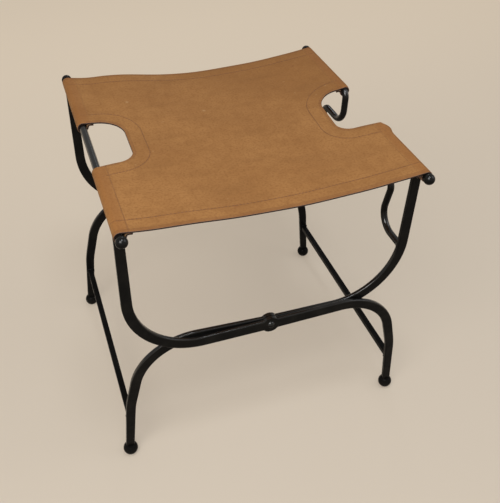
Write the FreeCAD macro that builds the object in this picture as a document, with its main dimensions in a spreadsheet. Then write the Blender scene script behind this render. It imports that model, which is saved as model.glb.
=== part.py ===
import FreeCAD, Part
import math
import os
import re

import Sketcher
from FreeCAD import Vector

# Folding camp stool. Two pairs of S-shaped iron bars cross on rivets at the front and the rear.
# A leather sling runs from the left rail, on the outer frame, to the two right rails, on the inner frame.
# X runs from left to right, Y from front to rear, Z up; the origin lies on the floor under the middle.

# Driving dimensions in millimetres.
SIZES = {
    # rails, measured at their axes
    "rail_height": 440,
    "rail_spread": 198.5,
    "rail_diameter": 10,
    "left_knob_reach": 26.8,
    "right_knob_reach": 28.1,
    "knob_diameter": 15,
    "knob_tenon_diameter": 5,
    "knob_tenon_length": 5,
    # bars
    "pivot_height": 219,
    "inner_bar_offset": 172.3,
    "pivot_thickness": 5.4,
    "pivot_depth": 18.5,
    "end_thickness": 7.5,
    "end_depth": 12.7,
    "edge_round": 1.8,
    "arm_level": 217.5,
    "arm_bend": 100,
    "outer_knee_level": 223,
    "inner_knee_level": 229,
    "knee_spread": 181,
    "knee_bend": 88,
    "shin_spread": 209,
    "shin_level": 110,
    "shin_bend": 180,
    "saddle_depth": 1,
    "saddle_gap": 0.05,
    # pivots
    "eye_diameter": 26,
    "eye_boss": 0.2,
    "rivet_diameter": 7,
    "rivet_clearance": 0.05,
    "rivet_head_diameter": 11.5,
    "rivet_head_height": 3.5,
    "washer_diameter": 20,
    "washer_thickness": 1,
    "pivot_play": 0.1,
    # feet and stretchers
    "foot_spread": 217.7,
    "foot_diameter": 22,
    "foot_flat_diameter": 8,
    "foot_seat_diameter": 14,
    "foot_tenon_diameter": 6,
    "foot_tenon_length": 8,
    "tenon_clearance": 0.05,
    "left_stretcher_height": 81,
    "right_stretcher_height": 76,
    "stretcher_width": 9,
    "stretcher_round": 1.2,
    # the braces that carry the right rails down to the inner bars
    "front_hook_inset": 57,
    "front_rail_bend": 7,
    "rear_hook_inset": 44.5,
    "rear_rail_bend": 11,
    "hook_level": 384.5,
    "front_elbow_inset": 123.3,
    "rear_elbow_inset": 112,
    "brace_inset": 105.8,
    "brace_level": 305.5,
    "hook_bend": 26,
    "elbow_bend": 14,
    "brace_bend": 28,
    # leather seat
    "leather_thickness": 2.5,
    "loop_gap": 0.3,
    "seat_sag": 15.5,
    "left_seat_inset": 8.8,
    "right_seat_inset": 6.9,
    "seat_waist": 1.5,
    "seam_gap": 0.2,
    "hem_length": 14,
    "left_cutout_front": 59.5,
    "left_cutout_rear": 59,
    "right_cutout_front": 64,
    "right_cutout_rear": 60,
    "cutout_depth": 51.5,
    "cutout_round": 38,
    "notch_clearance": 3,
    "notch_outside": 9,
    "notch_inside": 27,
    "notch_outside_rise": 3.4,
    "notch_inside_drop": 0.4,
    "notch_bottom_drop": 14,
}

LEFT, RIGHT = -1, 1
FRONT, REAR = -1, 1

# Dimensions worked out from the driving ones.
EYE_THICKNESS = "(pivot_thickness + eye_boss)"
OUTER_BAR_OFFSET = f"(inner_bar_offset + {EYE_THICKNESS} + washer_thickness + pivot_play)"
LEFT_KNOB_OFFSET = f"({OUTER_BAR_OFFSET} + left_knob_reach)"
RIGHT_KNOB_OFFSET = "(inner_bar_offset + right_knob_reach)"
LEFT_SEAT_HALF = f"({LEFT_KNOB_OFFSET} - left_seat_inset)"
RIGHT_SEAT_HALF = f"({RIGHT_KNOB_OFFSET} - right_seat_inset)"
SEAT_MID_HALF = f"({RIGHT_SEAT_HALF} - seat_waist)"
ARM_TOP = "(rail_height - rail_diameter / 2 + saddle_depth)"
KNOB_SEAT = "sqrt((knob_diameter / 2)^2 - (rail_diameter / 2)^2)"
FOOT_CENTRE = "sqrt((foot_diameter / 2)^2 - (foot_flat_diameter / 2)^2)"
FOOT_SEAT = "sqrt((foot_diameter / 2)^2 - (foot_seat_diameter / 2)^2)"
FOOT_TOP = f"({FOOT_CENTRE} + {FOOT_SEAT})"
RIVET_DOME = "((rivet_head_diameter / 2)^2 + rivet_head_height^2) / (2 * rivet_head_height)"
LOOP_INNER = "(rail_diameter / 2 + loop_gap)"
LOOP_OUTER = f"({LOOP_INNER} + leather_thickness)"
SAG_RADIUS = f"(rail_spread^2 + seat_sag^2 - 2 * {LOOP_OUTER} * seat_sag) / (2 * seat_sag)"

doc = FreeCAD.newDocument("FoldingStool")
sheet = doc.addObject("Spreadsheet::Sheet", "Sizes")
for row, (alias, number) in enumerate(SIZES.items(), start=1):
    sheet.set(f"A{row}", alias)
    sheet.set(f"B{row}", str(number))
    sheet.setAlias(f"B{row}", alias)
doc.recompute()


def on_sheet(text):
    """The expression with every size, a word with an underscore, read from the sheet."""
    return re.sub(r"\b[a-z]+(?:_[a-z]+)+\b", lambda match: f"Sizes.{match.group()}", text)


def value(text):
    """What the expression comes to, as a plain number."""
    return float(sheet.evalExpression(on_sheet(text)))


def bind(item, name, text):
    """Tie a property of the item to the sheet."""
    item.setExpression(name, on_sheet(text))


def new_sketch(body, name, role, offset="0"):
    """A sketch parallel to one of the body's origin planes, at the given distance along its normal."""
    sketch = body.newObject("Sketcher::SketchObject", name)
    plane = next(item for item in body.Origin.OriginFeatures if item.Role == role)
    sketch.AttachmentSupport = [(plane, "")]
    sketch.MapMode = "FlatFace"
    bind(sketch, "AttachmentOffset.Base.z", offset)
    return sketch


def constrain(sketch, *terms, text=None):
    """Add a constraint; one with a size is tied to the sheet."""
    if text is None:
        sketch.addConstraint(Sketcher.Constraint(*terms))
        return
    index = sketch.addConstraint(Sketcher.Constraint(*terms, value(text)))
    bind(sketch, f"Constraints[{index}]", text)


def pin(sketch, geometry, end, place):
    """Hold a point of the geometry at a place measured from the sketch's origin."""
    constrain(sketch, "DistanceX", -1, 1, geometry, end, text=place[0])
    constrain(sketch, "DistanceY", -1, 1, geometry, end, text=place[1])


def draw_circle(sketch, centre, radius):
    """A circle at a place measured from the sketch's origin."""
    middle = Vector(value(centre[0]), value(centre[1]), 0)
    circle = sketch.addGeometry(Part.Circle(middle, Vector(0, 0, 1), value(radius)))
    pin(sketch, circle, 3, centre)
    constrain(sketch, "Radius", circle, text=radius)


def arc_between(centre, radius, start, stop):
    """The arc that runs anticlockwise about a centre from one direction to another."""
    angles = [math.atan2(point.y - centre.y, point.x - centre.x) for point in (start, stop)]
    return Part.ArcOfCircle(Part.Circle(centre, Vector(0, 0, 1), radius), *angles)


def bend_points(points, corner, bend):
    """Where the arc that rounds a corner starts and stops, and its centre."""
    there = points[corner]
    if bend is None:
        return there, there, there
    back = (points[corner - 1] - there).normalize()
    ahead = (points[(corner + 1) % len(points)] - there).normalize()
    half_angle = back.getAngle(ahead) / 2
    reach = value(bend) / math.tan(half_angle)
    centre = there + (back + ahead).normalize() * (value(bend) / math.sin(half_angle))
    return there + back * reach, there + ahead * reach, centre


def draw_bend(sketch, before, after, rounding, bend):
    """The tangent arc between two lines; the sketch counts its ends anticlockwise."""
    start, stop, centre = rounding
    turns_left = (start - centre).cross(stop - centre).z > 0
    ends = (start, stop) if turns_left else (stop, start)
    first, last = (1, 2) if turns_left else (2, 1)
    arc = sketch.addGeometry(arc_between(centre, value(bend), *ends))
    constrain(sketch, "Tangent", before, 2, arc, first)
    constrain(sketch, "Tangent", arc, last, after, 1)
    constrain(sketch, "Radius", arc, text=bend)


def draw_outline(sketch, corners, bends, closed):
    """Straight lines from corner to corner, with a tangent arc at each corner that has a bend."""
    points = [Vector(value(x), value(y), 0) for x, y in corners]
    roundings = [bend_points(points, corner, bend) for corner, bend in enumerate(bends)]
    count = len(points)
    lines = []
    for start in range(count if closed else count - 1):
        stop = (start + 1) % count
        lines.append(sketch.addGeometry(Part.LineSegment(roundings[start][1], roundings[stop][0])))
    marks = [sketch.addGeometry(Part.Point(point), True) for point in points]
    for mark, corner in zip(marks, corners):
        pin(sketch, mark, 1, corner)
    for start, line in enumerate(lines):
        for end, corner in ((1, start), (2, (start + 1) % count)):
            if bends[corner] is None:
                constrain(sketch, "Coincident", line, end, marks[corner], 1)
            else:
                constrain(sketch, "PointOnObject", marks[corner], 1, line)
    for corner, bend in enumerate(bends):
        if bend is not None:
            draw_bend(sketch, lines[corner - 1], lines[corner], roundings[corner], bend)


def add_pad(body, name, sketch, length, symmetric=True, reverse=False):
    """Thicken the sketch, to both sides of its plane or to one."""
    pad = body.newObject("PartDesign::Pad", name)
    pad.Profile = sketch
    bind(pad, "Length", length)
    pad.SideType = "Symmetric" if symmetric else "One side"
    pad.Reversed = reverse


def add_pocket(body, name, sketch, length):
    """Cut the sketch out to both sides of its plane."""
    pocket = body.newObject("PartDesign::Pocket", name)
    pocket.Profile = sketch
    bind(pocket, "Length", length)
    pocket.SideType = "Symmetric"


def add_body(label):
    """An empty sub-part."""
    body = doc.addObject("PartDesign::Body", label)
    body.Label = label
    return body


def box_corners(centre, width, height):
    """Corners of an upright rectangle about a centre, anticlockwise from the lower left."""
    signs = ((-1, -1), (1, -1), (1, 1), (-1, 1))
    return [(f"{centre[0]} + {a} * {width} / 2", f"{centre[1]} + {b} * {height} / 2") for a, b in signs]


def add_limb(body, name, arm_side, plane_y, corners, bends):
    """One half of a bar, from the pivot to its end, growing squarer on the way."""
    rounds = ["edge_round"] * 4
    root_corners = box_corners((plane_y, "pivot_height"), "pivot_thickness", "pivot_depth")
    root = new_sketch(body, f"{name}_root", "YZ_Plane")
    draw_outline(root, root_corners, rounds, True)
    end_place, end_level = corners[-1]
    # The bend turns the top of the bar to one side, so the end's corners are counted from there.
    end_corners = box_corners((plane_y, end_place), "end_thickness", f"{-arm_side} * end_depth")
    tip = new_sketch(body, f"{name}_tip", "XY_Plane", end_level)
    draw_outline(tip, [(x, y) for y, x in end_corners], rounds, True)
    path = new_sketch(body, f"{name}_path", "XZ_Plane", f"-1 * {plane_y}")
    draw_outline(path, corners, bends, False)
    limb = body.newObject("PartDesign::AdditivePipe", name)
    limb.Profile = root
    limb.Spine = path
    limb.Sections = [tip]
    limb.Transformation = "Multisection"


def add_bar(label, arm_side, end, offset, knee_level):
    """An S-shaped bar: an arm up to the rail on one side, a leg down to the foot on the other."""
    body = add_body(label)
    plane_y = f"{end} * {offset}"
    normal = f"-1 * {plane_y}"
    pivot = ("0", "pivot_height")
    rail_place = f"{arm_side} * rail_spread"
    foot_place = f"{-arm_side} * foot_spread"
    arm = [pivot, (rail_place, "arm_level"), (rail_place, ARM_TOP)]
    knee = (f"{-arm_side} * knee_spread", knee_level)
    shin = (f"{-arm_side} * shin_spread", "shin_level")
    leg = [pivot, knee, shin, (foot_place, FOOT_TOP)]
    add_limb(body, "arm", arm_side, plane_y, arm, [None, "arm_bend", None])
    add_limb(body, "leg", arm_side, plane_y, leg, [None, "knee_bend", "shin_bend", None])

    eye = new_sketch(body, "eye_circle", "XZ_Plane", normal)
    draw_circle(eye, pivot, "eye_diameter / 2")
    add_pad(body, "eye", eye, EYE_THICKNESS)
    tenon = new_sketch(body, "tenon_circle", "XY_Plane", FOOT_TOP)
    draw_circle(tenon, (foot_place, plane_y), "foot_tenon_diameter / 2")
    add_pad(body, "tenon", tenon, "foot_tenon_length", symmetric=False, reverse=True)
    hole = new_sketch(body, "rivet_circle", "XZ_Plane", normal)
    draw_circle(hole, pivot, "rivet_diameter / 2 + rivet_clearance")
    add_pocket(body, "rivet_hole", hole, f"2 * {EYE_THICKNESS}")
    saddle = new_sketch(body, "saddle_circle", "XZ_Plane", normal)
    draw_circle(saddle, (rail_place, "rail_height"), "rail_diameter / 2 + saddle_gap")
    add_pocket(body, "saddle", saddle, "2 * end_thickness")
    return body


def add_left_rail():
    """The left rail: a straight rod with a tenon at each end for its knobs."""
    body = add_body("left_rail")
    axis = ("-1 * rail_spread", "rail_height")
    rod_length = f"2 * ({LEFT_KNOB_OFFSET} - {KNOB_SEAT})"
    rod = new_sketch(body, "rod_circle", "XZ_Plane")
    draw_circle(rod, axis, "rail_diameter / 2")
    add_pad(body, "rod", rod, rod_length)
    tenon = new_sketch(body, "tenon_circle", "XZ_Plane")
    draw_circle(tenon, axis, "knob_tenon_diameter / 2")
    add_pad(body, "tenons", tenon, f"{rod_length} + 2 * knob_tenon_length")
    return body


def add_right_rail(name, end):
    """Half of the right rail, bent down at the cut-out and out again to the inner bar."""
    body = add_body(f"right_{name}_rail")
    hook_inset = f"{name}_hook_inset"
    knob_face = f"{RIGHT_KNOB_OFFSET} - {KNOB_SEAT}"
    stations = (
        (knob_face, "rail_height", None),
        (hook_inset, "rail_height", f"{name}_rail_bend"),
        (hook_inset, "hook_level", "hook_bend"),
        (f"{name}_elbow_inset", "hook_level", "elbow_bend"),
        ("brace_inset", "brace_level", "brace_bend"),
        ("inner_bar_offset - end_thickness / 2", "brace_level", None),
    )
    path = new_sketch(body, "path", "YZ_Plane", "rail_spread")
    corners = [(f"{end} * ({inset})", level) for inset, level, bend in stations]
    draw_outline(path, corners, [bend for inset, level, bend in stations], False)
    section = new_sketch(body, "section", "XZ_Plane", f"{-end} * ({knob_face})")
    draw_circle(section, ("rail_spread", "rail_height"), "rail_diameter / 2")
    rod = body.newObject("PartDesign::AdditivePipe", "rod")
    rod.Profile = section
    rod.Spine = path
    tenon = new_sketch(body, "tenon_circle", "XZ_Plane", f"{-end} * ({knob_face})")
    draw_circle(tenon, ("rail_spread", "rail_height"), "knob_tenon_diameter / 2")
    add_pad(body, "tenon", tenon, "knob_tenon_length", symmetric=False, reverse=end == REAR)
    return body


def place(item, centre, axis):
    """Put a round piece at a centre, with its own Z turned to the axis."""
    item.Placement = FreeCAD.Placement(Vector(), FreeCAD.Rotation(Vector(0, 0, 1), Vector(*axis)))
    for letter, text in zip("xyz", centre):
        bind(item, f"Placement.Base.{letter}", text)


def along(centre, axis, distance):
    """The place at a distance from the centre along the axis."""
    return [f"{text} + {step} * ({distance})" for text, step in zip(centre, axis)]


def add_ball(label, centre, axis, diameter, seat, low_latitude, tenon):
    """A ball with a flat seat along its axis and a blind hole there for the tenon."""
    ball = doc.addObject("Part::Sphere", f"{label}_ball")
    bind(ball, "Radius", f"{diameter} / 2")
    bind(ball, "Angle1", low_latitude)
    bind(ball, "Angle2", f"asin({seat} / ({diameter} / 2))")
    place(ball, centre, axis)
    depth = f"{tenon}_length + tenon_clearance"
    hole = doc.addObject("Part::Cylinder", f"{label}_hole")
    bind(hole, "Radius", f"{tenon}_diameter / 2 + tenon_clearance")
    bind(hole, "Height", depth)
    place(hole, along(centre, axis, f"{seat} - ({depth})"), axis)
    cut = doc.addObject("Part::Cut", label)
    cut.Label = label
    cut.Base = ball
    cut.Tool = hole
    return cut


def add_knob(label, side, end, offset):
    """The ball on the end of a rail."""
    centre = (f"{side} * rail_spread", f"{end} * {offset}", "rail_height")
    return add_ball(label, centre, (0, -end, 0), "knob_diameter", KNOB_SEAT, "-90", "knob_tenon")


def add_foot(label, side, end, offset):
    """The ball under a leg, with a small flat to stand on."""
    centre = (f"{side} * foot_spread", f"{end} * {offset}", FOOT_CENTRE)
    low_latitude = f"-1 * asin({FOOT_CENTRE} / (foot_diameter / 2))"
    return add_ball(label, centre, (0, 0, 1), "foot_diameter", FOOT_SEAT, low_latitude, "foot_tenon")


def add_stretcher(label, side, offset, level):
    """The square bar that joins the front and the rear leg of one frame, on the legs' centre line."""
    body = add_body(label)
    lean = f"(foot_spread - shin_spread) / (shin_level - {FOOT_TOP})"
    centre = (f"{side} * (shin_spread + (shin_level - {level}) * {lean})", level)
    section = new_sketch(body, "section", "XZ_Plane")
    corners = box_corners(centre, "stretcher_width", "stretcher_width")
    draw_outline(section, corners, ["stretcher_round"] * 4, True)
    add_pad(body, "rod", section, f"2 * {offset} - end_thickness")
    return body


def add_rivet(label, end):
    """A rivet through both bars, with a low domed head at each end."""
    outer_face = f"({OUTER_BAR_OFFSET} + {EYE_THICKNESS} / 2)"
    inner_face = f"(inner_bar_offset - {EYE_THICKNESS} / 2 - pivot_play)"
    shank = doc.addObject("Part::Cylinder", f"{label}_shank")
    bind(shank, "Radius", "rivet_diameter / 2")
    bind(shank, "Height", f"{outer_face} - {inner_face}")
    place(shank, ("0", f"{end} * {inner_face}", "pivot_height"), (0, end, 0))
    pieces = [shank]
    sink = f"({RIVET_DOME} - rivet_head_height)"
    for name, face, outward in (("head", outer_face, end), ("tail", inner_face, -end)):
        dome = doc.addObject("Part::Sphere", f"{label}_{name}")
        bind(dome, "Radius", RIVET_DOME)
        bind(dome, "Angle1", f"asin({sink} / ({RIVET_DOME}))")
        place(dome, ("0", f"{end} * {face} - {outward} * {sink}", "pivot_height"), (0, outward, 0))
        pieces.append(dome)
    rivet = doc.addObject("Part::MultiFuse", label)
    rivet.Label = label
    rivet.Shapes = pieces
    return rivet


def add_washer(label, end):
    """The washer between the bars, against the outer one."""
    body = add_body(label)
    middle = f"{OUTER_BAR_OFFSET} - {EYE_THICKNESS} / 2 - washer_thickness / 2"
    ring = new_sketch(body, "ring", "XZ_Plane", f"{-end} * ({middle})")
    draw_circle(ring, ("0", "pivot_height"), "washer_diameter / 2")
    draw_circle(ring, ("0", "pivot_height"), "rivet_diameter / 2 + rivet_clearance")
    add_pad(body, "disc", ring, "washer_thickness")
    return body


def draw_seat_profile(sketch, side):
    """The leather seen from the front: a sagging sheet, round the rail, back under itself as a hem."""
    axis = Vector(side * value("rail_spread"), value("rail_height"), 0)
    outer, inner = value(LOOP_OUTER), value(LOOP_INNER)
    leather, sag_radius = value("leather_thickness"), value(SAG_RADIUS)
    seam = side * value("seam_gap") / 2
    sag_centre = Vector(0, value(f"rail_height + {LOOP_OUTER} - seat_sag") + sag_radius, 0)

    def sag_point(x, radius):
        return Vector(x, sag_centre.y - math.sqrt(radius**2 - x**2), 0)

    top_start = axis + (sag_centre - axis).normalize() * outer
    top_stop = sag_point(seam, sag_radius)
    low_stop = sag_point(seam, sag_radius + leather)
    hem_x = axis.x - side * value("hem_length")
    hem_top = sag_point(hem_x, sag_radius + leather)
    hem_low = hem_top - Vector(0, leather, 0)
    # The hem runs straight from its end to where it touches the loop from below.
    reach = hem_low - axis
    swing = math.acos(outer / reach.Length)
    heading = math.atan2(reach.y, reach.x) + side * swing
    touch = axis + Vector(math.cos(heading), math.sin(heading), 0) * outer

    leftward = side == LEFT
    top_ends = (top_start, top_stop) if leftward else (top_stop, top_start)
    low_ends = (hem_top, low_stop) if leftward else (low_stop, hem_top)
    loop_ends = (top_start, touch) if leftward else (touch, top_start)
    top = sketch.addGeometry(arc_between(sag_centre, sag_radius, *top_ends))
    loop = sketch.addGeometry(arc_between(axis, outer, *loop_ends))
    hem = sketch.addGeometry(Part.LineSegment(touch, hem_low))
    hem_end = sketch.addGeometry(Part.LineSegment(hem_low, hem_top))
    low = sketch.addGeometry(arc_between(sag_centre, sag_radius + leather, *low_ends))
    seam_line = sketch.addGeometry(Part.LineSegment(low_stop, top_stop))
    near, far = (1, 2) if leftward else (2, 1)
    constrain(sketch, "Tangent", top, near, loop, near)
    constrain(sketch, "Tangent", loop, far, hem, 1)
    constrain(sketch, "Coincident", hem, 2, hem_end, 1)
    constrain(sketch, "Coincident", hem_end, 2, low, near)
    constrain(sketch, "Coincident", low, far, seam_line, 1)
    constrain(sketch, "Coincident", seam_line, 2, top, far)
    constrain(sketch, "Coincident", low, 3, top, 3)
    constrain(sketch, "PointOnObject", top, 3, -2)
    constrain(sketch, "Vertical", hem_end)
    constrain(sketch, "Vertical", seam_line)
    pin(sketch, loop, 3, (f"{side} * rail_spread", "rail_height"))
    constrain(sketch, "Radius", loop, text=LOOP_OUTER)
    pin(sketch, top, far, (f"{side} * seam_gap / 2", f"rail_height + {LOOP_OUTER} - seat_sag"))
    constrain(sketch, "Distance", seam_line, text="leather_thickness")
    constrain(sketch, "Distance", hem_end, text="leather_thickness")
    hem_place = f"{side} * (rail_spread - hem_length)"
    constrain(sketch, "DistanceX", -1, 1, hem_end, 1, text=hem_place)
    draw_circle(sketch, (f"{side} * rail_spread", "rail_height"), LOOP_INNER)


def add_seat_half(name, side, rail_half, arm_offset):
    """One half of the leather seat, from its rail to the fold in the middle."""
    body = add_body(f"seat_{name}_half")
    profile = new_sketch(body, "profile", "XZ_Plane")
    draw_seat_profile(profile, side)
    widest = f"max({rail_half}; {SEAT_MID_HALF})"
    add_pad(body, "sling", profile, f"2 * {widest}")

    outside = f"{side} * (rail_spread + 2 * {LOOP_OUTER})"
    edges = new_sketch(body, "edge_trim", "XY_Plane", "rail_height")
    for end in (FRONT, REAR):
        beyond = f"{end} * 2 * {widest}"
        edge = [(outside, f"{end} * {rail_half}"), ("0", f"{end} * {SEAT_MID_HALF}")]
        draw_outline(edges, edge + [("0", beyond), (outside, beyond)], [None] * 4, True)
    add_pocket(body, "edges", edges, "rail_height / 2")

    inside = f"{side} * (rail_spread - cutout_depth)"
    front, rear = f"-1 * {name}_cutout_front", f"{name}_cutout_rear"
    opening = [(outside, front), (inside, front), (inside, rear), (outside, rear)]
    cutout = new_sketch(body, "cutout_outline", "XY_Plane", "rail_height")
    draw_outline(cutout, opening, [None, "cutout_round", "cutout_round", None], True)
    add_pocket(body, "cutout", cutout, "rail_height / 2")

    notch_out = f"{side} * (rail_spread + notch_outside)"
    notch_in = f"{side} * (rail_spread - notch_inside)"
    low = "rail_height - notch_bottom_drop"
    slot = [
        (notch_out, "rail_height + notch_outside_rise"),
        (notch_in, "rail_height - notch_inside_drop"),
        (notch_in, low),
        (notch_out, low),
    ]
    for edge_name, end in (("front", FRONT), ("rear", REAR)):
        notch = new_sketch(body, f"{edge_name}_notch_outline", "XZ_Plane", f"{-end} * {arm_offset}")
        draw_outline(notch, slot, [None] * 4, True)
        add_pocket(body, f"{edge_name}_notch", notch, "end_thickness + 2 * notch_clearance")
    return body


def build_parts():
    """All sub-parts of the stool."""
    inner = "inner_bar_offset"
    parts = [add_left_rail()]
    for name, end in (("front", FRONT), ("rear", REAR)):
        parts += [
            add_bar(f"outer_{name}_bar", LEFT, end, OUTER_BAR_OFFSET, "outer_knee_level"),
            add_bar(f"inner_{name}_bar", RIGHT, end, inner, "inner_knee_level"),
            add_right_rail(name, end),
            add_knob(f"left_{name}_knob", LEFT, end, LEFT_KNOB_OFFSET),
            add_knob(f"right_{name}_knob", RIGHT, end, RIGHT_KNOB_OFFSET),
            add_foot(f"left_{name}_foot", LEFT, end, inner),
            add_foot(f"right_{name}_foot", RIGHT, end, OUTER_BAR_OFFSET),
            add_rivet(f"{name}_pivot_rivet", end),
            add_washer(f"{name}_pivot_washer", end),
        ]
    parts += [
        add_stretcher("left_stretcher", LEFT, inner, "left_stretcher_height"),
        add_stretcher("right_stretcher", RIGHT, OUTER_BAR_OFFSET, "right_stretcher_height"),
        add_seat_half("left", LEFT, LEFT_SEAT_HALF, OUTER_BAR_OFFSET),
        add_seat_half("right", RIGHT, RIGHT_SEAT_HALF, inner),
    ]
    return parts


def check(parts):
    """Stop if anything in the document failed, or a sub-part is not one sound solid."""
    failed = [item.Label for item in doc.Objects if {"Invalid", "Error"} & set(item.State)]
    if failed:
        raise RuntimeError(f"failed: {failed}")
    for part in parts:
        if part.Shape.isNull() or not part.Shape.isValid() or len(part.Shape.Solids) != 1:
            raise RuntimeError(f"unsound: {part.Label}")


stool = build_parts()
doc.recompute()
check(stool)
os.makedirs("parts", exist_ok=True)
for part in stool:
    part.Shape.exportStep(f"parts/{part.Label}.step")
    print(f"{part.Label}: {part.Shape.Volume / 1000:.2f} cm3")
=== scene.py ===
import math

import bpy
import numpy as np
from mathutils import Matrix, Vector


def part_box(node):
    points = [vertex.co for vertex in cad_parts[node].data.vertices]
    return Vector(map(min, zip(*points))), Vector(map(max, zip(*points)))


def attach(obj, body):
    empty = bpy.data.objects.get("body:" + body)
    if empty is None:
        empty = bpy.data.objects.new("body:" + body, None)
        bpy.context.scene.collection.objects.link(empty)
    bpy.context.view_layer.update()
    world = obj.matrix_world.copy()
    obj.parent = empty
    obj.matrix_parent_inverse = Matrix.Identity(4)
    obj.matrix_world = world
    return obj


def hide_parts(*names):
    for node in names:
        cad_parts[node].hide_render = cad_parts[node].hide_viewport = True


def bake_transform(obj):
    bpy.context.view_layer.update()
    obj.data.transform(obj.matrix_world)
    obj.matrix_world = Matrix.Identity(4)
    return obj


# Forged iron folding stool with a leather sling seat, standing open.
# X runs from the left rail to the right rails, Y from front to rear, Z up, in metres.

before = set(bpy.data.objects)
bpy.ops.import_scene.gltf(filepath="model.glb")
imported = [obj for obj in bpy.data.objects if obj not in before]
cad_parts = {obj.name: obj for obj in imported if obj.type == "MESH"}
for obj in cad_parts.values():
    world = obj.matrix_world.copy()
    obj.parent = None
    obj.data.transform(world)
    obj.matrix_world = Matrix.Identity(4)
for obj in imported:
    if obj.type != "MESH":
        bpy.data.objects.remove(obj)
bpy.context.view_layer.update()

# The rails and the leather that hangs between them.
RAIL_X, RAIL_Z = 0.1985, 0.440
LEATHER = 0.0025
LOOP_RADIUS = 0.0078
SAG = 0.0155
SAG_RADIUS = (RAIL_X**2 + SAG**2 - 2 * LOOP_RADIUS * SAG) / (2 * SAG)
SAG_CENTRE = RAIL_Z + LOOP_RADIUS - SAG + SAG_RADIUS
RAIL_SLOPE = math.atan2(RAIL_X, SAG_CENTRE - RAIL_Z)
TOP_LENGTH = SAG_RADIUS * RAIL_SLOPE
HEM_TURN = math.radians(-152)
SLOT_TURN = math.radians(-12)
HEM_MEETS, HEM_END = 0.0095, 0.0145
WAIST, SEAT_HALF = 0.0032, 0.195
REAR_BEND_START, REAR_BEND = 0.0555, 0.011
EDGE_SWELL = 0.0005

# The cut-outs for the hands: their corners' radii, and their depths at the front and the rear end.
FRONT_ROUND, REAR_ROUND = 0.022, 0.035
LEFT_DEPTHS, RIGHT_DEPTHS = (0.0520, 0.0535), (0.0580, 0.0530)

# Along each rail, from front to rear: the edge, the arm's slot, the cut-out, the other slot and the edge.
LEFT_ROWS = (-0.197, -0.1845, -0.1735, -0.0595, 0.055, 0.1735, 0.1845, 0.197)
RIGHT_ROWS = (-0.1950, -0.1778, -0.1668, -0.064, 0.050, 0.1668, 0.1778, 0.1935)

# How far the hide is pulled out of square, and how far the cut-outs' front edges slant and over what width.
SKEW, TOE, TOE_REACH = 0.008, 0.010, 0.054

# How high the hide's rolls stand at the rear and the front of its left half, and its faint waves.
REAR_ROLL, FRONT_ROLL, WAVE = 0.0052, 0.0018, 0.0004

# The right front tongue's loop stands off where the rod bends: how far, how near its end and how wide.
FLARE, FLARE_INSET, FLARE_WIDTH = 0.0035, 0.013, 0.009

# How far that loop dips again at its end, and over what length.
FLARE_DIP, DIP_LENGTH = 0.0022, 0.007

# Seams: how far each line of stitches lies from the edge that it follows.
EDGE_SEAM, CUTOUT_SEAM, RAIL_SEAM = 0.022, 0.0225, 0.0097

# How far the edges' seams run past the rails, and the rails' seams stop short of the leather's ends.
SEAM_PAST, SEAM_SHORT = 0.004, 0.001

# Stitches: their spacing, length and radius, how much they bow and how deep their ends lie.
STITCH_PITCH, STITCH_LENGTH, THREAD = 0.0046, 0.0036, 0.00035
STITCH_RISE, STITCH_SINK = 0.0006, 0.0004

# The welds: their radius, and where the braces of the right rails end on the inner bars.
BEAD = 0.0023
ROD_RADIUS = 0.005
BRACE_END_Y, BRACE_END_Z = 0.16855, 0.3055

# The powers that square a bead's ring off on a square bar, and leave it round on a rod.
SQUARE_BAR, ROUND_BAR = 0.45, 1.0

# How many steps the grid takes in each stretch.
MID_STEPS, TONGUE_STEPS, LOOP_STEPS, LOW_STEPS = 62, 4, 10, 16
TAB_STEPS, SLOT_STEPS, BLOCK_STEPS, CORNER_STEPS, BACK_STEPS = 4, 4, 36, 20, 14
RIM_STEPS = 4

# How close the grid's second line lies to the front and rear edges, and to a cut-out as a share.
EDGE_ROW, EDGE_SHARE = 0.0009, 0.006

# How many points the lines have, how many rings and sides the small tubes, and the floor's radius and sides.
ARC_POINTS, CUBIC_POINTS, HEM_POINTS = 500, 200, 80
EDGE_POINTS, RAIL_POINTS, ROUND_POINTS = 400, 200, 60
STITCH_RINGS, STITCH_SIDES = 5, 6
BEAD_RINGS, BEAD_SIDES = 30, 8
FLOOR_RADIUS, FLOOR_SIDES = 12, 96

# The point that the lamps face.
STOOL_MIDDLE = (0, 0, 0.3)

# The photograph's camera: the picture's width and the focal length in pixels, the sensor in millimetres.
PHOTO_WIDTH, FOCAL_LENGTH, SENSOR = 500, 701.84, 36

# The camera's turn, tilt and roll in degrees, and how far the origin lies to its right, below and ahead.
AZIMUTH, ELEVATION, ROLL = -20.79, 40.28, 1.88
ORIGIN_SEEN = (-0.0364, 0.15941, 1.26887)


class Shade:
    """A value that changes over a surface. Arithmetic on it adds Math nodes; a bar takes the larger value."""

    def __init__(self, finish, socket):
        self.finish = finish
        self.socket = socket

    def math(self, operation, *terms):
        return self.finish.node("ShaderNodeMath", {"operation": operation}, dict(enumerate(terms)))

    def __add__(self, other):
        return self.math("ADD", self, other)

    def __sub__(self, other):
        return self.math("SUBTRACT", self, other)

    def __rsub__(self, other):
        return self.math("SUBTRACT", other, self)

    def __mul__(self, other):
        return self.math("MULTIPLY", self, other)

    def __abs__(self):
        return self.math("ABSOLUTE", self)

    def __or__(self, other):
        return self.math("MAXIMUM", self, other)

    __radd__ = __add__


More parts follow.
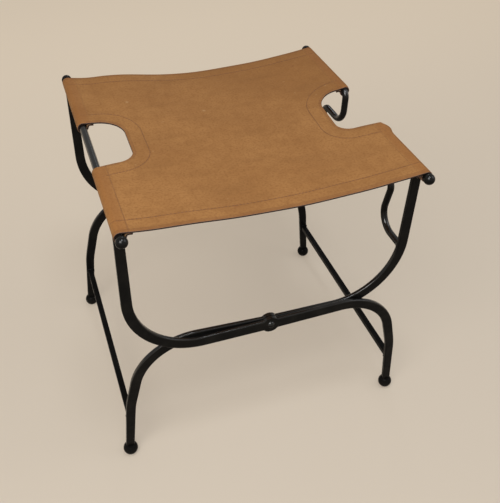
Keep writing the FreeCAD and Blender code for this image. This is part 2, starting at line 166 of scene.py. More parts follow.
class Finish:
    """A material in the making."""

    def __init__(self, name):
        self.material = bpy.data.materials.new(name)
        self.material.use_nodes = True
        self.tree = self.material.node_tree
        self.shader = self.tree.nodes["Principled BSDF"]

    def node(self, kind, settings=None, sockets=None, output=0):
        """Add a node, apply its settings, fill its sockets and return one of its outputs."""
        node = self.tree.nodes.new(kind)
        for name, setting in (settings or {}).items():
            setattr(node, name, setting)
        self.fill(node, sockets or {})
        return Shade(self, self.pick(node.outputs, output))

    def pick(self, sockets, key):
        """A socket by its number, name or identifier."""
        if isinstance(key, int):
            return sockets[key]
        return next(socket for socket in sockets if key in (socket.identifier, socket.name))

    def fill(self, node, sockets):
        """Link or set the named sockets of a node."""
        for key, item in sockets.items():
            socket = self.pick(node.inputs, key)
            if isinstance(item, Shade):
                self.tree.links.new(item.socket, socket)
            else:
                socket.default_value = item

    def noise(self, place, scale, detail=2.0, distortion=0.0):
        """Cloudy noise between 0 and 1."""
        sockets = {"Vector": place, "Scale": scale, "Detail": detail, "Distortion": distortion}
        return self.node("ShaderNodeTexNoise", sockets=sockets)

    def step(self, value, low, high):
        """A smooth step from 0 at low to 1 at high."""
        sockets = {"Value": value, "From Min": low, "From Max": high}
        return self.node("ShaderNodeMapRange", {"interpolation_type": "SMOOTHSTEP"}, sockets)

    def line(self, distance, middle, half_width):
        """1 on a line at a distance, falling smoothly to 0 at its half width."""
        return self.step(abs(distance - middle), half_width, 0.0)

    def spot(self, place, centre, radius):
        """1 at a place, falling smoothly to 0 at a radius."""
        sockets = {0: place, 1: (*centre, 0.0)}
        distance = self.node("ShaderNodeVectorMath", {"operation": "DISTANCE"}, sockets, "Value")
        return self.step(distance, radius, 0.0)

    def mix(self, factor, first, second):
        """One colour turning into another."""
        sockets = {"Factor_Float": factor, "A_Color": first, "B_Color": second}
        return self.node("ShaderNodeMix", {"data_type": "RGBA"}, sockets, "Result_Color")

    def bump(self, height, strength, distance, under=None):
        """A normal tilted by a height in metres, on top of another normal."""
        sockets = {"Height": height, "Strength": strength, "Distance": distance}
        if under is not None:
            sockets["Normal"] = under
        return self.node("ShaderNodeBump", sockets=sockets, output="Normal")

    def attribute(self, name):
        """A number kept on the mesh's points."""
        return self.node("ShaderNodeAttribute", {"attribute_name": name}, output="Fac")


def iron_finish(name, coat, coat_roughness):
    """Gloss black enamel on hand-forged iron: soft hammer marks, orange peel, dull patches, and a gloss coat
    on the faces that look up, which a smooth step brings in with height.
    """
    finish = Finish(name)
    place = finish.node("ShaderNodeTexCoord", output="Object")
    facing = finish.node("ShaderNodeTexCoord", output="Normal")
    upward = finish.node("ShaderNodeSeparateXYZ", sockets={0: facing}, output="Z")
    height = finish.node("ShaderNodeSeparateXYZ", sockets={0: place}, output="Z")
    hammer = finish.noise(place, 75.0, 1.0, 0.4)
    peel = finish.noise(place, 900.0, 2.0)
    patches = finish.noise(place, 38.0, 3.0)
    dull = finish.step(patches, 0.40, 0.75)
    dented = finish.bump(hammer, 0.50, 0.0016)
    finish.fill(finish.shader, {
        "Base Color": finish.mix(dull, (0.0066, 0.0064, 0.0062, 1), (0.0110, 0.0104, 0.0094, 1)),
        "Roughness": 0.15 + dull * 0.13,
        "Normal": finish.bump(peel, 0.08, 0.0002, dented),
        "IOR": 1.12,
        "Coat Weight": finish.step(upward, 0.05, 0.55) * finish.step(height, 0.10, 0.20) * coat,
        "Coat Roughness": coat_roughness,
        "Coat IOR": 1.6,
    })
    return finish.material


def leather_finish():
    """Tan hide: a smooth mottled grain side, a suede flesh side, cut edges with painted light and shade, and
    pressed seams.
    """
    finish = Finish("tan_leather")
    flat = finish.node("ShaderNodeUVMap", {"uv_map": "flat"})
    grain_side = finish.attribute("grain_side")
    rim = finish.attribute("rim")
    edge = finish.attribute("edge")
    cutout = finish.attribute("cutout")
    rail = finish.attribute("rail")

    along, depth = (finish.node("ShaderNodeSeparateXYZ", sockets={0: flat}, output=axis) for axis in "XY")
    front_left = finish.step(along, 0.0, -0.05) * finish.step(depth, 0.0, -0.05)
    drawn = finish.node("ShaderNodeVectorMath", {"operation": "MULTIPLY"}, {0: flat, 1: (9.0, 42.0, 1.0)})
    streaks = finish.noise(drawn, 1.0, 4.0, 0.5)
    clouds = finish.noise(flat, 13.0, 3.0, 0.6)
    mottle = finish.noise(flat, 70.0, 4.0, 0.3)
    speckle = finish.noise(flat, 320.0, 3.0)
    pebble = finish.node("ShaderNodeTexVoronoi", {"feature": "SMOOTH_F1"}, {"Vector": flat, "Scale": 620.0})
    fibres = finish.noise(flat, 900.0, 6.0, 1.5)

    seams = (
        finish.line(edge, EDGE_SEAM, 0.0017)
        | finish.line(cutout, CUTOUT_SEAM, 0.0014)
        | finish.line(rail, -RAIL_SEAM, 0.0014) * front_left * 0.7
    )
    creases = finish.line(edge, 0.0042, 0.0012) | finish.line(cutout, 0.0036, 0.0012)
    burnish = finish.step(edge, 0.0060, 0.0) | finish.step(cutout, 0.0050, 0.0)
    roll = finish.step(abs(rail), 0.013, 0.003)
    scuffs = finish.step(finish.noise(flat, 95.0, 1.0), 0.75, 0.82)
    flecks = finish.spot(flat, (-0.126, 0.108), 0.0034) | finish.spot(flat, (-0.021, 0.067), 0.0036)
    stains = finish.spot(flat, (-0.052, -0.173), 0.006) | finish.spot(flat, (0.153, 0.148), 0.005)

    # Painted light and shade: a lighter pool at the front left, and darker shade growing towards the rear
    # right.
    painted_light_front_left = finish.spot(flat, (-0.165, -0.115), 0.11)
    painted_shade_rear_right = finish.step(along + depth, 0.06, 0.30)
    # Painted shade on the hem, which lies under the sheet past the loop.
    hem = finish.step(rail, 0.022, 0.032)
    tan = finish.mix(finish.step(clouds, 0.30, 0.72), (0.330, 0.150, 0.0450, 1), (0.378, 0.178, 0.0555, 1))
    tan = finish.mix(painted_light_front_left * 0.40, tan, (0.430, 0.205, 0.0650, 1))
    tan = finish.mix(painted_shade_rear_right * 0.42, tan, (0.235, 0.092, 0.0190, 1))
    tan = finish.mix(finish.step(streaks, 0.42, 0.82) * 0.44, tan, (0.245, 0.110, 0.0330, 1))
    tan = finish.mix(finish.step(mottle, 0.36, 0.76) * 0.34, tan, (0.240, 0.101, 0.0290, 1))
    tan = finish.mix(finish.step(speckle, 0.42, 0.70) * 0.52, tan, (0.225, 0.092, 0.0250, 1))
    tan = finish.mix(scuffs * 0.40 | flecks * 0.75, tan, (0.460, 0.270, 0.125, 1))
    tan = finish.mix(stains * 0.40, tan, (0.200, 0.070, 0.024, 1))
    tan = finish.mix(roll * 0.45, tan, (0.270, 0.102, 0.026, 1))
    tan = finish.mix(burnish * 0.45, tan, (0.190, 0.072, 0.024, 1))
    tan = finish.mix(creases * 0.28, tan, (0.120, 0.044, 0.022, 1))
    tan = finish.mix(seams * (0.14 + clouds * 0.36), tan, (0.130, 0.048, 0.022, 1))
    # The hem under the sheet is darkened with painted shade.
    tan = finish.mix(hem * 0.60, tan, (0.090, 0.036, 0.018, 1))
    suede = finish.mix(fibres, (0.210, 0.110, 0.050, 1), (0.350, 0.210, 0.110, 1))
    hide = finish.mix(grain_side, suede, tan)
    # The cut edge's colour is painted: a painted highlight on its upper corner and painted shade on its
    # underside.
    cut_edge_painted_highlight, cut_edge_painted_shade = (0.210, 0.122, 0.084, 1), (0.026, 0.014, 0.012, 1)
    cut = finish.mix(finish.step(grain_side, 0.84, 0.62), cut_edge_painted_highlight, cut_edge_painted_shade)
    colour = finish.mix(finish.step(rim, 0.05, 0.55), hide, cut)

    relief = 1 - seams * 0.6 - creases * 0.40 + pebble * 0.10 + speckle * 0.08
    pressed = finish.bump(relief, 0.50, 0.0005)
    soft = finish.bump(mottle, 0.10, 0.0030, pressed)
    finish.fill(finish.shader, {
        "Base Color": colour,
        "Roughness": 0.84 - grain_side * 0.26 + mottle * 0.12 - roll * 0.06,
        "Normal": finish.bump(fibres * (1 - grain_side), 0.5, 0.0006, soft),
        "Specular IOR Level": 0.20,
    })
    return finish.material


def thread_finish():
    """Waxed red-brown linen thread with a twist, rubbed paler along the rails."""
    finish = Finish("waxed_thread")
    place = finish.node("ShaderNodeTexCoord", output="Object")
    across, depth = (finish.node("ShaderNodeSeparateXYZ", sockets={0: place}, output=axis) for axis in "XY")
    rubbed = finish.step(across, -0.1, 0.1) | finish.step(depth, -0.1, 0.1)
    rubbed = finish.step(abs(across), 0.178, 0.186) * (0.4 + rubbed * 0.6)
    strands = finish.noise(place, 1400.0, 2.0)
    waxed = finish.mix(strands, (0.150, 0.062, 0.030, 1), (0.240, 0.105, 0.046, 1))
    finish.fill(finish.shader, {
        "Base Color": finish.mix(rubbed * 0.8, waxed, (0.310, 0.140, 0.044, 1)),
        "Roughness": 0.55 + strands * 0.2,
        "Normal": finish.bump(strands, 0.3, 0.0003),
    })
    return finish.material


def floor_finish():
    """Plain pale cream ground that glows with painted light, more towards the rear."""
    finish = Finish("pale_ground")
    place = finish.node("ShaderNodeTexCoord", output="Object")
    depth = finish.node("ShaderNodeSeparateXYZ", sockets={0: place}, output="Y")
    front_glow, rear_glow = (0.275, 0.237, 0.193, 1), (0.429, 0.357, 0.272, 1)
    finish.fill(finish.shader, {
        "Base Color": (0.403, 0.351, 0.288, 1),
        "Emission Color": finish.mix(finish.step(depth, -0.2, 1.5), front_glow, rear_glow),
        "Emission Strength": 1.0,
        "Roughness": 0.9,
        "Specular IOR Level": 0.1,
    })
    return finish.material


def smooth(value, low, high):
    """A smooth step from 0 at low to 1 at high: three times the square less twice the cube of the share."""
    share = np.clip((value - low) / (high - low), 0, 1)
    return share**2 * (3 - 2 * share)


def sling_line():
    """Half of the leather's grain side seen from the front, as a dense line from the middle outwards.

    It follows a circle of the sag radius to the rail, then a circle of the loop radius round the rail,
    then a cubic back to the sheet, and last a circle a leather's thickness below the sheet.
    Returns rows of length along the line, place across the stool, height, and the outward normal's parts.
    """
    sweep = np.linspace(0, RAIL_SLOPE, ARC_POINTS)
    top = np.stack([SAG_RADIUS * np.sin(sweep), SAG_CENTRE - SAG_RADIUS * np.cos(sweep)])
    turn = np.linspace(math.pi / 2 + RAIL_SLOPE, HEM_TURN, ARC_POINTS)[1:]
    loop = np.stack([RAIL_X + LOOP_RADIUS * np.cos(turn), RAIL_Z + LOOP_RADIUS * np.sin(turn)])

    under = SAG_RADIUS + 2 * LEATHER
    meet_x = RAIL_X - HEM_MEETS
    meet_z = SAG_CENTRE - math.sqrt(under**2 - meet_x**2)
    meet_slope = meet_x / math.sqrt(under**2 - meet_x**2)
    leave_x, leave_z = loop[:, -1]
    leave_slope = -1 / math.tan(HEM_TURN)
    span = meet_x - leave_x
    t = np.linspace(0, 1, CUBIC_POINTS)[1:]
    cubic = np.stack([
        leave_x + span * t,
        (2 * t**3 - 3 * t**2 + 1) * leave_z + (t**3 - 2 * t**2 + t) * span * leave_slope
        + (3 * t**2 - 2 * t**3) * meet_z + (t**3 - t**2) * span * meet_slope,
    ])
    hem_x = np.linspace(meet_x, RAIL_X - HEM_END, HEM_POINTS)[1:]
    hem = np.stack([hem_x, SAG_CENTRE - np.sqrt(under**2 - hem_x**2)])

    line = np.hstack([top, loop, cubic, hem])
    steps = np.hypot(*np.diff(line))
    length = np.concatenate([[0], np.cumsum(steps)])
    tangent = np.gradient(line, length, axis=1)
    tangent /= np.hypot(*tangent)
    return np.vstack([length, line, -tangent[1], tangent[0]])


LINE = sling_line()
SLOT_LENGTH = TOP_LENGTH + LOOP_RADIUS * (math.pi / 2 + RAIL_SLOPE - SLOT_TURN)
LINE_LENGTH = LINE[0, -1]


def seat_swell(x, y):
    """How far the leather stands above the plain sag: two bell curves across the left half, one grown by a
    smooth step towards the rear and one towards the front, and a product of two sines. All fade out towards
    the rails.
    """
    rear_roll = REAR_ROLL * np.exp(-(((x + 0.112) / 0.052) ** 2)) * smooth(y, 0.00, 0.20)
    front_roll = FRONT_ROLL * np.exp(-(((x + 0.110) / 0.060) ** 2)) * smooth(-y, 0.04, 0.19)
    waves = WAVE * np.sin(47 * x + 21 * y + 0.7) * np.sin(33 * y - 18 * x + 1.9)
    return (rear_roll + front_roll + waves) * smooth(RAIL_X - np.abs(x), 0.004, 0.055)


def loop_flare(along, y):
    """How far the loop stands off near the rear end of the right front tongue, where the rod bends away:
    a bell curve in depth less a smooth step at the end itself, over the part of the loop on the rail.
    """
    end = RIGHT_ROWS[3]
    bell = FLARE * np.exp(-(((y - end + FLARE_INSET) / FLARE_WIDTH) ** 2))
    bulge = bell - FLARE_DIP * smooth(y, end - DIP_LENGTH, end) * (y < 0)
    over_rail = smooth(along, TOP_LENGTH - 0.008, TOP_LENGTH + 0.010)
    return bulge * over_rail * (1 - smooth(along, SLOT_LENGTH, SLOT_LENGTH + 0.012))


def loop_droop(along, y):
    """How far the right rear tongue's front end hangs down: it follows the circle in which the rod bends."""
    past = np.clip(REAR_BEND_START - y, 0, REAR_BEND / 2) * (y > 0)
    drop = REAR_BEND - np.sqrt(REAR_BEND**2 - past**2)
    return drop * smooth(along, TOP_LENGTH - 0.040, TOP_LENGTH)


def hide_skew(x, y):
    """How far the hide is pulled out of square: a sine across it, and from the middle forwards a quarter sine
    that grows inwards from the rails. A parabola fades both to nothing at the front and rear edges.
    """
    inward = np.clip((RAIL_X - np.abs(x)) / TOE_REACH, 0, 1)
    toe = TOE * np.sin(math.pi / 2 * inward) * smooth(-y, -0.03, 0.06)
    skew = -SKEW * np.sin(math.pi * x / RAIL_X)
    return (skew + toe) * (1 - np.minimum(np.abs(y) / SEAT_HALF, 1) ** 2)


def seat_point(along, y):
    """The grain side at a signed length along the sling line and a place in depth, with its normal."""
    side = np.where(along < 0, -1.0, 1.0)
    x, z, normal_x, normal_z = (np.interp(np.abs(along), LINE[0], row) for row in LINE[1:])
    x = side * x + loop_flare(along, y)
    z = z + seat_swell(x, y) * (np.abs(along) < TOP_LENGTH) - loop_droop(along, y)
    points = np.stack([x, y, z], axis=-1)
    normals = np.stack([side * normal_x, np.zeros_like(x), normal_z], axis=-1)
    return points, normals


def hem_swell(along, y):
    """The hem and the loop's underside follow the sheet above them: the sheet's swell past the rail."""
    x = np.sign(along) * np.interp(np.abs(along), LINE[0], LINE[1])
    return seat_swell(x, y) * (np.abs(along) >= TOP_LENGTH)


def side_rows(knots, depths):
    """Where the rows of the grid meet one rail, and how far short of its axis the leather stops there.

    The rows are evenly spaced between the knots, except round the cut-out's corners, where a row's distance
    from the cut-out's end is the corner's radius times one less the cosine of an angle that grows evenly. The
    cut-out's back is a straight line between its two depths, less the radius times one less the angle's sine.
    """
    front, rear = knots[3], knots[4]
    angle = np.linspace(0, math.pi / 2, CORNER_STEPS + 1)
    inward, aside = 1 - np.cos(angle), 1 - np.sin(angle)
    counts = (TAB_STEPS, SLOT_STEPS, BLOCK_STEPS)
    before = [np.linspace(a, b, n, endpoint=False) for a, b, n in zip(knots, knots[1:], counts)]
    after = [np.linspace(a, b, n + 1)[1:] for a, b, n in zip(knots[4:], knots[5:], counts[::-1])]
    before[0][1] = knots[0] + EDGE_ROW
    after[-1][-2] = knots[-1] - EDGE_ROW
    back = np.linspace(front + FRONT_ROUND, rear - REAR_ROUND, BACK_STEPS + 1)[1:-1]
    front_corner, rear_corner = front + FRONT_ROUND * inward, rear - REAR_ROUND * inward[::-1]
    rows = np.concatenate([*before, front_corner, back, rear_corner, *after])
    rounded = [np.full(sum(counts), FRONT_ROUND), FRONT_ROUND * aside, np.zeros(len(back)),
               REAR_ROUND * aside[::-1], np.full(sum(counts), REAR_ROUND)]
    return rows, np.interp(rows, (front, rear), depths) - np.concatenate(rounded)


def side_lengths(short):
    """Lengths along the sling line at which the columns of one side stand, for every row."""
    reach = SAG_RADIUS * np.arcsin((RAIL_X - short) / SAG_RADIUS)
    share = np.linspace(0, 1, MID_STEPS + 1)
    share[-2] = 1 - EDGE_SHARE
    stops = (reach, *(np.full(len(short), stop) for stop in (TOP_LENGTH, SLOT_LENGTH, LINE_LENGTH)))
    counts = (TONGUE_STEPS, LOOP_STEPS, LOW_STEPS)
    outer = [np.linspace(a, b, n + 1, axis=1)[:, 1:] for a, b, n in zip(stops, stops[1:], counts)]
    return np.hstack([reach[:, None] * share, *outer])


def seat_depth(along, left, right):
    """Where a row lies in depth: a straight line from rail to rail, drawn in by a parabola and skewed."""
    x = np.sign(along) * np.interp(np.abs(along), LINE[0], LINE[1])
    share = np.clip(x / RAIL_X, -1, 1)
    straight = left * (1 - share) / 2 + right * (1 + share) / 2
    waist = WAIST * (1 - share**2)
    drawn = straight * (1 - waist / SEAT_HALF * (straight / SEAT_HALF) ** 2)
    return drawn + hide_skew(RAIL_X * share, drawn)


def cutout_distance(x, y):
    """Distance from the nearer cut-out: that from a box with two rounded corners and a slanting back, open
    towards the rail, in the hide before it is pulled out of square.
    """
    distances = []
    for side, knots, depths in ((-1, LEFT_ROWS, LEFT_DEPTHS), (1, RIGHT_ROWS, RIGHT_DEPTHS)):
        middle, half = (knots[4] + knots[3]) / 2, (knots[4] - knots[3]) / 2
        from_middle = y - hide_skew(x, y) - middle
        back = RAIL_X - np.interp(from_middle, (-half, half), depths)
        corner = np.where(from_middle < 0, FRONT_ROUND, REAR_ROUND)
        across = back + corner - side * x
        deep = np.abs(from_middle) - (half - corner)
        outside = np.hypot(np.maximum(across, 0), np.maximum(deep, 0))
        distances.append(outside + np.minimum(np.maximum(across, deep), 0) - corner)
    return np.minimum(*distances)


def grid_quads(keep):
    """Corner numbers of a grid's kept faces, anticlockwise seen from its outer side."""
    rows, columns = keep.shape
    number = np.arange((rows + 1) * (columns + 1)).reshape(rows + 1, columns + 1)
    corners = [number[:-1, :-1], number[:-1, 1:], number[1:, 1:], number[1:, :-1]]
    return np.stack([corner[keep] for corner in corners], axis=-1)


def thicken(points, normals, quads):
    """A sheet's outer face given its thickness and a rounded rim.

    The inner face lies a thickness below the outer one. The rim is a half ellipse from one to the other,
    carried along every open edge: the middle of the leather plus half its thickness times the cosine of an
    angle along the normal, plus the swell times its sine along the direction that leads away from the sheet.
    Returns points, faces, the number of the outer point each comes from, and each point's angle's share.
    """
    count = len(points)
    start, stop = quads.ravel(), np.roll(quads, -1, axis=1).ravel()
    key, reverse = start * count + stop, stop * count + start
    is_open = ~np.isin(key, reverse)
    start, stop = start[is_open], stop[is_open]
    away = np.zeros_like(points)
    outward = np.cross(points[stop] - points[start], normals[start])
    outward /= np.linalg.norm(outward, axis=1, keepdims=True)
    np.add.at(away, start, outward)
    np.add.at(away, stop, outward)
    edge = np.unique(start)
    away = away[edge] / np.linalg.norm(away[edge], axis=1, keepdims=True)

    slot = np.zeros(count, int)
    slot[edge] = np.arange(len(edge))
    angle = math.pi * np.arange(1, RIM_STEPS) / RIM_STEPS
    middle = points[edge] - normals[edge] * LEATHER / 2
    rings = (middle + np.cos(angle)[:, None, None] * normals[edge] * LEATHER / 2
             + np.sin(angle)[:, None, None] * away * EDGE_SWELL)
    ring_number = 2 * count + np.arange(RIM_STEPS - 1)[:, None] * len(edge) + np.arange(len(edge))
    ladder = np.vstack([edge, ring_number, edge + count])
    a, b = slot[start], slot[stop]
    rim = np.stack([ladder[:-1, b], ladder[:-1, a], ladder[1:, a], ladder[1:, b]], axis=-1).reshape(-1, 4)

    all_points = np.vstack([points, points - normals * LEATHER, rings.reshape(-1, 3)])
    faces = np.vstack([quads, quads[:, ::-1] + count, rim])
    source = np.concatenate([np.arange(count), np.arange(count), np.tile(edge, RIM_STEPS - 1)])
    share = np.concatenate([np.zeros(count), np.ones(count), np.repeat(angle / math.pi, len(edge))])
    return all_points, faces, source, share


def add_mesh(name, points, faces, material):
    """A smooth-shaded mesh object at the origin."""
    mesh = bpy.data.meshes.new(name)
    mesh.from_pydata(points.tolist(), [], faces)
    mesh.polygons.foreach_set("use_smooth", np.ones(len(faces), bool))
    mesh.materials.append(material)
    piece = bpy.data.objects.new(name, mesh)
    bpy.context.scene.collection.objects.link(piece)
    return piece


def add_number(piece, name, numbers):
    """Keep a number on each of the mesh's points for its finish."""
    layer = piece.data.attributes.new(name, "FLOAT", "POINT")
    layer.data.foreach_set("value", np.ascontiguousarray(numbers, np.float32))


def add_seat(material):
    """The leather sling: a grid of rows in depth and columns along the sling line, less its openings."""
    left, left_short = side_rows(LEFT_ROWS, LEFT_DEPTHS)
    right, right_short = side_rows(RIGHT_ROWS, RIGHT_DEPTHS)
    along = np.hstack([-side_lengths(left_short)[:, :0:-1], side_lengths(right_short)])
    depth = seat_depth(along, left[:, None], right[:, None])
    points, normals = seat_point(along, depth)
    points[..., 2] += hem_swell(along, depth)

    rows, columns = along.shape[0] - 1, along.shape[1] - 1
    row = np.arange(rows)[:, None]
    outside = np.abs(np.arange(columns) - (columns - 1) / 2)[None, :]
    first = TAB_STEPS + SLOT_STEPS + BLOCK_STEPS
    in_cutout = (row >= first) & (row < rows - first) & (outside > MID_STEPS)
    from_edge = np.minimum(row, rows - 1 - row)
    in_slot = (from_edge >= TAB_STEPS) & (from_edge < TAB_STEPS + SLOT_STEPS)
    in_slot = in_slot & (outside > MID_STEPS + TONGUE_STEPS + LOOP_STEPS)
    quads = grid_quads(~(in_cutout | in_slot))

    used, numbers = np.unique(quads, return_inverse=True)
    quads = numbers.reshape(quads.shape)
    points, normals = points.reshape(-1, 3)[used], normals.reshape(-1, 3)[used]
    flat = np.stack([along, depth], axis=-1).reshape(-1, 2)[used]
    corner = flat[quads]
    diagonal, other = corner[:, 2] - corner[:, 0], corner[:, 3] - corner[:, 1]
    area = np.abs(diagonal[:, 0] * other[:, 1] - diagonal[:, 1] * other[:, 0]).sum() / 2

    shell, faces, source, share = thicken(points, normals, quads)
    piece = add_mesh("leather_seat", shell, faces.tolist(), material)
    half = seat_depth(flat[:, 0], LEFT_ROWS[-1], RIGHT_ROWS[-1])
    on_top = np.abs(flat[:, 0]) < TOP_LENGTH
    edge = half - np.abs(flat[:, 1])
    far_off = 0.05
    cutout = np.where(on_top, cutout_distance(points[:, 0], points[:, 1]), far_off)
    rail = np.abs(flat[:, 0]) - TOP_LENGTH
    add_number(piece, "grain_side", 1 - share)
    add_number(piece, "rim", np.sin(math.pi * share))
    add_number(piece, "edge", edge[source])
    add_number(piece, "cutout", cutout[source])
    add_number(piece, "rail", rail[source])
    layer = piece.data.uv_layers.new(name="flat")
    corners = np.zeros(len(piece.data.loops), np.int32)
    piece.data.loops.foreach_get("vertex_index", corners)
    layer.data.foreach_set("uv", flat[source][corners].astype(np.float32).ravel())
    return piece, area


def evenly(path, pitch):
    """Places at even steps along a path of points, and the path's direction there."""
    length = np.concatenate([[0], np.cumsum(np.linalg.norm(np.diff(path, axis=0), axis=1))])
    at = np.arange(pitch, length[-1] - pitch / 2, pitch)
    places = np.stack([np.interp(at, length, line) for line in path.T], axis=-1)
    nudge = 1e-4
    ahead = np.stack([np.interp(at + nudge, length, line) for line in path.T], axis=-1)
    return places, ahead - places


def seam_paths():
    """The lines of stitches, as lengths along the sling line and places in depth, and the layers they pierce.

    Two follow the front and the rear edge. Two follow each rail, on either side of its cut-out. One follows
    each cut-out: a straight line in from the rail, a quarter circle, a line along its back, and the same
    again, pulled out of square with the hide.
    """
    paths = []
    across = np.linspace(-TOP_LENGTH - SEAM_PAST, TOP_LENGTH + SEAM_PAST, EDGE_POINTS)
    for end in (-1, 1):
        half = seat_depth(across, LEFT_ROWS[-1], RIGHT_ROWS[-1])
        paths.append((np.stack([across, end * (half - EDGE_SEAM)], axis=-1), 1))
    quarter = np.linspace(0, math.pi / 2, ROUND_POINTS)
    front_radius, rear_radius = FRONT_ROUND + CUTOUT_SEAM, REAR_ROUND + CUTOUT_SEAM
    for side, knots, depths in ((-1, LEFT_ROWS, LEFT_DEPTHS), (1, RIGHT_ROWS, RIGHT_DEPTHS)):
        at_rail = side * (TOP_LENGTH - RAIL_SEAM)
        for first, last in ((knots[0], knots[3]), (knots[4], knots[7])):
            deep = np.linspace(first + SEAM_SHORT, last - SEAM_SHORT, RAIL_POINTS)
            paths.append((np.stack([np.full(RAIL_POINTS, at_rail), deep], axis=-1), 2))
        front, rear = knots[3] - CUTOUT_SEAM, knots[4] + CUTOUT_SEAM
        aside = np.concatenate([front_radius * (1 - np.sin(quarter)), rear_radius * (1 - np.cos(quarter))])
        deep = np.concatenate([front + front_radius * (1 - np.cos(quarter)),
                               rear - rear_radius * (1 - np.sin(quarter))])
        back = RAIL_X - CUTOUT_SEAM - np.interp(deep, (knots[3], knots[4]), depths)
        x = np.concatenate([[RAIL_X], back + aside, [RAIL_X]])
        deep = np.concatenate([[front], deep, [rear]])
        deep = deep + hide_skew(side * x, deep)
        paths.append((np.stack([side * SAG_RADIUS * np.arcsin(x / SAG_RADIUS), deep], axis=-1), 1))
    return paths


def add_stitches(name, material):
    """Thread on both sides of the leather: one small bowed closed tube for each stitch, its ends in the hide.

    A stitch's middle line is its place plus a share of its length along the seam, raised by a parabola;
    the tube is a circle of the thread's radius round that line, and shrinks to a point at both ends.
    """
    found = [(*evenly(path, STITCH_PITCH), layers) for path, layers in seam_paths()]
    places = np.vstack([place for place, ahead, layers in found])
    ahead = np.vstack([ahead for place, ahead, layers in found])
    deep = np.concatenate([np.full((len(place), 1), layers * LEATHER) for place, ahead, layers in found])
    top, normals = seat_point(places[:, 0], places[:, 1])
    forward = seat_point(*(places + ahead).T)[0] - top
    forward /= np.linalg.norm(forward, axis=1, keepdims=True)
    points = np.vstack([top, top - normals * deep])
    normals = np.vstack([normals, -normals])
    forward = np.vstack([forward, forward])
    sideways = np.cross(normals, forward)

    share = np.linspace(-1, 1, STITCH_RINGS + 2)
    turn = np.linspace(0, 2 * math.pi, STITCH_SIDES, endpoint=False)
    rise = STITCH_RISE * (1 - share**2) - STITCH_SINK
    radius = THREAD * np.sqrt(1 - share**4)
    middle = (points[:, None] + forward[:, None] * share[:, None] * STITCH_LENGTH / 2
              + normals[:, None] * rise[:, None])
    ring = sideways[:, None] * np.cos(turn)[:, None] + normals[:, None] * np.sin(turn)[:, None]
    tubes = middle[:, 1:-1, None] + ring[:, None] * radius[1:-1, None, None]
    stitches = np.hstack([tubes.reshape(len(points), -1, 3), middle[:, :1], middle[:, -1:]])

    first_number = np.arange(len(points))[:, None, None] * stitches.shape[1]
    number = np.arange(STITCH_RINGS * STITCH_SIDES).reshape(STITCH_RINGS, STITCH_SIDES)
    beside = np.roll(number, -1, axis=1)
    walls = np.stack([number[:-1], beside[:-1], beside[1:], number[1:]], axis=-1).reshape(-1, 4)
    tips = np.full(STITCH_SIDES, number.size), np.full(STITCH_SIDES, number.size + 1)
    ends = np.vstack([np.stack([tips[0], beside[0], number[0]], axis=-1),
                      np.stack([number[-1], beside[-1], tips[1]], axis=-1)])
    faces = (first_number + walls).reshape(-1, 4).tolist() + (first_number + ends).reshape(-1, 3).tolist()
    return add_mesh(name, stitches.reshape(-1, 3), faces, material)


def bar_ends(node):
    """Middle and half size of the ends of a straight bar that runs from front to rear."""
    low, high = (np.array(corner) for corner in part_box(node))
    middle, half = (low + high) / 2, (high - low) / 2
    return [((middle[0], y, middle[2]), (half[0], half[2])) for y in (low[1], high[1])]


def add_beads(name, ends, corner, material):
    """Weld beads round the ends of bars: closed rippled rings.

    A ring's middle line goes round the bar: half its width times the cosine of an angle and half its height
    times the sine, each raised to a power that squares it off. The bead is a circle round that line, with a
    radius that ripples as two sines.
    """
    angle = np.linspace(0, 2 * math.pi, BEAD_RINGS, endpoint=False)
    turn = np.linspace(0, 2 * math.pi, BEAD_SIDES, endpoint=False)
    round_bar = np.stack([np.cos(angle), np.zeros(BEAD_RINGS), np.sin(angle)], axis=-1)
    squared = np.sign(round_bar) * np.abs(round_bar) ** corner
    radius = BEAD * (1 + 0.14 * np.sin(7 * angle) + 0.10 * np.sin(3 * angle + 1.0))
    spread = round_bar[:, None] * np.cos(turn)[:, None] + np.array([0, 1, 0]) * np.sin(turn)[:, None]
    rings = np.array([
        np.array(middle) + (squared * (half[0], 0, half[1]))[:, None] + spread * radius[:, None, None]
        for middle, half in ends
    ])
    number = np.arange(BEAD_RINGS * BEAD_SIDES).reshape(BEAD_RINGS, BEAD_SIDES)
    ahead = np.roll(number, -1, axis=0)
    beside, beside_ahead = np.roll(number, -1, axis=1), np.roll(ahead, -1, axis=1)
    one = np.stack([number, beside, beside_ahead, ahead], axis=-1).reshape(-1, 4)
    faces = (np.arange(len(ends))[:, None, None] * number.size + one).reshape(-1, 4)
    return add_mesh(name, rings.reshape(-1, 3), faces.tolist(), material)


def add_floor(material):
    """A round floor, wide enough to fill every view."""
    angle = np.linspace(0, 2 * math.pi, FLOOR_SIDES, endpoint=False)
    points = FLOOR_RADIUS * np.stack([np.cos(angle), np.sin(angle), np.zeros(FLOOR_SIDES)], axis=-1)
    floor = add_mesh("floor", points, [list(range(FLOOR_SIDES))], material)


def add_lamp(name, place, size, watts, colour):
    """A square soft box that faces the stool."""
    lamp = bpy.data.lights.new(name, "AREA")
    lamp.size = size
    lamp.energy = watts
    lamp.color = colour
    box = bpy.data.objects.new(name, lamp)
    box.location = place
    box.rotation_euler = (Vector(STOOL_MIDDLE) - Vector(place)).to_track_quat("-Z", "Y").to_euler()
    bpy.context.scene.collection.objects.link(box)


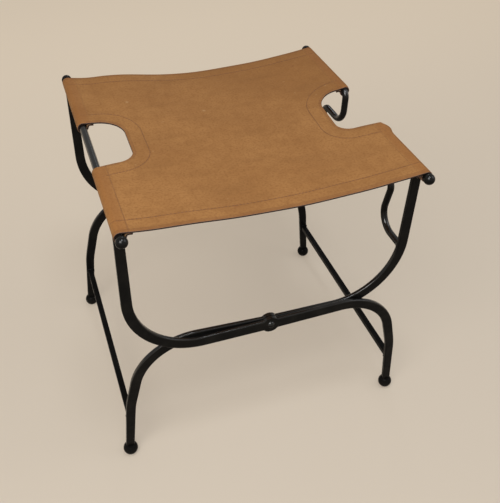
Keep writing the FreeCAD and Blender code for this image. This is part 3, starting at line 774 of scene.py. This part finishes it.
def add_camera():
    """The photograph's viewpoint: turned left of the front, looking down, with a slight roll."""
    azimuth, elevation, roll = (math.radians(angle) for angle in (AZIMUTH, ELEVATION, ROLL))
    back = np.array([math.sin(azimuth) * math.cos(elevation), -math.cos(azimuth) * math.cos(elevation),
                     math.sin(elevation)])
    level = np.cross(-back, (0, 0, 1))
    level /= np.linalg.norm(level)
    rise = np.cross(level, -back)
    right = math.cos(roll) * level + math.sin(roll) * rise
    up = -math.sin(roll) * level + math.cos(roll) * rise
    aside, down, ahead = ORIGIN_SEEN
    where = -(right * aside - up * down - back * ahead)
    camera = bpy.data.objects.new("camera", bpy.data.cameras.new("camera"))
    camera.data.sensor_fit = "HORIZONTAL"
    camera.data.sensor_width = SENSOR
    camera.data.lens = FOCAL_LENGTH * SENSOR / PHOTO_WIDTH
    turned = np.eye(4)
    turned[:3] = np.stack([right, up, back, where], axis=-1)
    camera.matrix_world = Matrix(turned.tolist())
    bpy.context.scene.collection.objects.link(camera)
    bpy.context.scene.camera = camera


def add_world(colour, strength):
    """Even light from all round."""
    world = bpy.data.worlds.new("studio")
    world.use_nodes = True
    background = world.node_tree.nodes["Background"]
    background.inputs["Color"].default_value = colour
    background.inputs["Strength"].default_value = strength
    bpy.context.scene.world = world


bpy.context.scene.view_settings.view_transform = "Standard"

iron = iron_finish("black_enamel", 1.0, 0.20)
knob_iron = iron_finish("black_enamel_knobs", 0.45, 0.07)
for name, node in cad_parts.items():
    node.data.materials.clear()
    node.data.materials.append(knob_iron if name.endswith("_knob") else iron)

brace_ends = [((RAIL_X, end * BRACE_END_Y, BRACE_END_Z), (ROD_RADIUS, ROD_RADIUS)) for end in (-1, 1)]
for name, ends, corner, body in (
    ("left_stretcher_welds", bar_ends("left_stretcher"), SQUARE_BAR, "inner_frame"),
    ("right_stretcher_welds", bar_ends("right_stretcher"), SQUARE_BAR, "outer_frame"),
    ("brace_welds", brace_ends, ROUND_BAR, "inner_frame"),
):
    welds = add_beads(name, ends, corner, iron)
    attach(welds, body)

seat, seat_area = add_seat(leather_finish())
stitches = add_stitches("seat_stitches", thread_finish())
for soft in (seat, stitches):
    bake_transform(soft)
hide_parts("seat_left_half", "seat_right_half")

add_floor(floor_finish())
add_lamp("key", (-0.75, -0.95, 1.55), 1.0, 17, (1.0, 0.98, 0.95))
add_lamp("sky", (0.0, -0.50, 2.05), 0.40, 8, (0.90, 0.95, 1.0))
add_lamp("fill", (1.9, -0.6, 1.8), 1.6, 10, (0.97, 0.98, 1.0))
add_lamp("window", (0.60, 1.70, 1.80), 0.45, 2, (0.84, 0.92, 1.0))
add_world((1.0, 0.98, 0.95, 1), 0.30)
add_camera()
